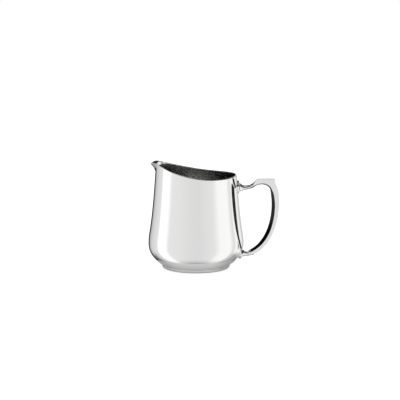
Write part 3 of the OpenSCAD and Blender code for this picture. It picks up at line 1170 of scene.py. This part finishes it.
# Where the tent's dark seam is, by the angle round the jug
SEAM_PLACE = 123
TENT_STEPS = 240
FLOOR_REACH = 4.0
PATCH_RADIUS = 0.037
PATCH_STEPS = 96
PATCH_MIDDLE_GLOW = 0.15
CAMERA_SHIFT = (0.00995, 0.0447)


def plain_material(name, tone, glow):
    """A matt surface that may also give off light."""
    material = bpy.data.materials.new(name)
    material.use_nodes = True
    surface = material.node_tree.nodes["Principled BSDF"]
    surface.inputs["Base Color"].default_value = (tone, tone, tone, 1.0)
    surface.inputs["Roughness"].default_value = 0.9
    surface.inputs["Specular IOR Level"].default_value = 0.0
    surface.inputs["Emission Color"].default_value = (1.0, 1.0, 1.0, 1.0)
    surface.inputs["Emission Strength"].default_value = glow
    return material


def stage_object(name, points, faces, material):
    """A piece of the studio, which isn't part of the jug."""
    mesh = bpy.data.meshes.new(name)
    mesh.from_pydata(points, [], faces)
    mesh.materials.append(material)
    mesh.update()
    piece = bpy.data.objects.new(name, mesh)
    bpy.context.scene.collection.objects.link(piece)
    return piece


def glow_at_points(piece, glow):
    """Gives each point of a studio surface its own light, seen only in the polished metal."""
    layer = piece.data.attributes.new("glow", "FLOAT", "POINT")
    layer.data.foreach_set("value", glow)
    piece.visible_camera = False
    piece.visible_diffuse = False
    piece.visible_shadow = False
    piece.visible_transmission = False


def round_jug(radius, degrees, height):
    """A point at an angle round the jug from the camera's side."""
    swing = math.radians(degrees)
    return (radius * math.sin(swing), -radius * math.cos(swing), height)


def steps_round(steps):
    """Angles at even steps round the jug."""
    return [n * 360 / steps - 180 for n in range(steps)]


def between(rows, place):
    """Values of a table at a place between its rows, each row starting with its own place."""
    for low, high in zip(rows, rows[1:]):
        if low[0] <= place <= high[0]:
            part = (place - low[0]) / (high[0] - low[0])
            return [mix(a, b, part) for a, b in zip(low[1:], high[1:])]
    return list(rows[-1][1:])


def seam_shade(degrees, rise):
    """How dark the tent's seam behind the handle is, 1 being black, with soft edges and ends."""
    return limited((6 - abs(degrees - SEAM_PLACE)) / 3) * limited((16 - abs(rise)) / 10)


def tent_brightness(degrees, rise):
    """How bright the tent is in a direction from the jug, 0 degrees being the camera's side."""
    panels, even, rear = between(TENT_ROWS, rise)
    behind = limited((abs(degrees + 9) - 103) / 25)
    light = (panels * between(TENT_PANELS, degrees)[0] + even) * mix(1.0, rear, behind)
    return light * (1 - seam_shade(degrees, rise))


def patch_glow(degrees):
    """Light of the mirrored floor round the foot, strongest in front of the jug."""
    return mix(0.27, 0.07, limited((abs(degrees) - 30) / 35))


def add_tent(studio):
    """The light tent that the metal mirrors: soft panels all round, and a dark ring above them."""
    points = []
    glow = []
    radius = studio.tent_radius
    rises = range(-89, 90, 2)
    for rise in rises:
        swing_up = math.radians(rise)
        for degrees in steps_round(TENT_STEPS):
            points.append(round_jug(radius * math.cos(swing_up), degrees, radius * math.sin(swing_up)))
            glow.append(tent_brightness(degrees, rise))
    material = bpy.data.materials.new("tent_cloth")
    material.use_nodes = True
    tree = material.node_tree
    tree.nodes.clear()
    panel = add_node(tree, "ShaderNodeAttribute", attribute_name="glow")
    lamp = add_node(tree, "ShaderNodeEmission", {"Strength": panel.outputs["Fac"]})
    add_node(tree, "ShaderNodeOutputMaterial", {"Surface": lamp.outputs[0]})
    tent = stage_object("light_tent", points, ring_faces(len(rises), TENT_STEPS), material)
    glow_at_points(tent, glow)


def add_floor(studio):
    """The pale floor, and the small patch of it that the metal mirrors near the foot."""
    corners = [(x * FLOOR_REACH, y * FLOOR_REACH, 0.0) for x, y in ((-1, -1), (1, -1), (1, 1), (-1, 1))]
    cloth = plain_material("pale_floor", studio.floor_tone, studio.floor_glow)
    floor = stage_object("floor", corners, [(0, 1, 2, 3)], cloth)
    floor.visible_glossy = False
    level = 0.1 * MM
    turns = steps_round(PATCH_STEPS)
    points = [round_jug(PATCH_RADIUS, degrees, level) for degrees in turns] + [(0.0, 0.0, level)]
    mirrored = plain_material("mirrored_floor", 0.5, 1.0)
    tree = mirrored.node_tree
    light = add_node(tree, "ShaderNodeAttribute", attribute_name="glow")
    tree.links.new(light.outputs["Fac"], tree.nodes["Principled BSDF"].inputs["Emission Strength"])
    faces = [(n, (n + 1) % PATCH_STEPS, PATCH_STEPS) for n in range(PATCH_STEPS)]
    patch = stage_object("floor_patch", points, faces, mirrored)
    glow_at_points(patch, [patch_glow(degrees) for degrees in turns] + [PATCH_MIDDLE_GLOW])


class CREAMJUG_OT_stage(bpy.types.Operator):
    """Set up the pale floor, the light tent and the camera"""

    bl_idname = "cream_jug.stage"
    bl_label = "Floor, light and camera"

    def execute(self, context):
        scene = context.scene
        studio = scene.cream_jug_studio
        scene.view_settings.view_transform = "Standard"
        world = bpy.data.worlds.new("studio")
        world.use_nodes = True
        background = world.node_tree.nodes["Background"]
        background.inputs["Color"].default_value = (1.0, 1.0, 1.0, 1.0)
        background.inputs["Strength"].default_value = studio.world_glow
        scene.world = world
        add_floor(studio)
        add_tent(studio)
        self.add_camera(scene, studio)
        return {"FINISHED"}

    def add_camera(self, scene, studio):
        """The camera, a little above the jug and square to its lip and handle."""
        camera = bpy.data.objects.new("camera", bpy.data.cameras.new("camera"))
        scene.collection.objects.link(camera)
        back = Vector((0.0, -math.cos(studio.camera_rise), math.sin(studio.camera_rise)))
        target = Vector((0.0, 0.0, studio.target_height))
        camera.location = target + back * studio.camera_distance
        camera.rotation_mode = "QUATERNION"
        camera.rotation_quaternion = (-back).to_track_quat("-Z", "Y")
        camera.data.sensor_width = 36.0
        camera.data.lens = studio.focal_length
        camera.data.shift_x, camera.data.shift_y = CAMERA_SHIFT
        camera.data.clip_start = 0.05
        camera.data.clip_end = 50.0
        scene.camera = camera


# ---------------------------------------------------------------- panel and run

OPERATORS = (
    CREAMJUG_OT_shell,
    CREAMJUG_OT_foot,
    CREAMJUG_OT_collars,
    CREAMJUG_OT_pegs,
    CREAMJUG_OT_handle,
    CREAMJUG_OT_stage,
)

SETTINGS = {
    "cream_jug_shell": CreamJugShellSizes,
    "cream_jug_rim": CreamJugRimSizes,
    "cream_jug_handle": CreamJugHandleSizes,
    "cream_jug_joints": CreamJugJointSizes,
    "cream_jug_finish": CreamJugFinish,
    "cream_jug_studio": CreamJugStudio,
}


class CREAMJUG_PT_panel(bpy.types.Panel):
    """Steps that build the jug, in order, and the sizes they use"""

    bl_idname = "CREAMJUG_PT_panel"
    bl_label = "Cream Jug"
    bl_space_type = "VIEW_3D"
    bl_region_type = "UI"
    bl_category = "Cream Jug"

    def draw(self, context):
        layout = self.layout
        for step in OPERATORS:
            layout.operator(step.bl_idname, text=step.bl_label)
        for name, group in SETTINGS.items():
            box = layout.box()
            box.label(text=group.__doc__)
            for field in group.__annotations__:
                box.prop(getattr(context.scene, name), field)


def register():
    """Registers the settings, the steps and the panel."""
    for name, group in SETTINGS.items():
        bpy.utils.register_class(group)
        setattr(bpy.types.Scene, name, bpy.props.PointerProperty(type=group))
    for step in OPERATORS:
        bpy.utils.register_class(step)
    bpy.utils.register_class(CREAMJUG_PT_panel)


def unregister():
    """Removes everything that register added."""
    bpy.utils.unregister_class(CREAMJUG_PT_panel)
    for step in reversed(OPERATORS):
        bpy.utils.unregister_class(step)
    for name in SETTINGS:
        delattr(bpy.types.Scene, name)
    for group in reversed(list(SETTINGS.values())):
        bpy.utils.unregister_class(group)


def main():
    """Builds the jug piece by piece."""
    register()
    bpy.ops.cream_jug.shell()
    bpy.ops.cream_jug.foot()
    bpy.ops.cream_jug.collars()
    bpy.ops.cream_jug.pegs()
    bpy.ops.cream_jug.handle()
    bpy.ops.cream_jug.stage()
    bpy.context.view_layer.update()


if __name__ == "__main__":
    main()
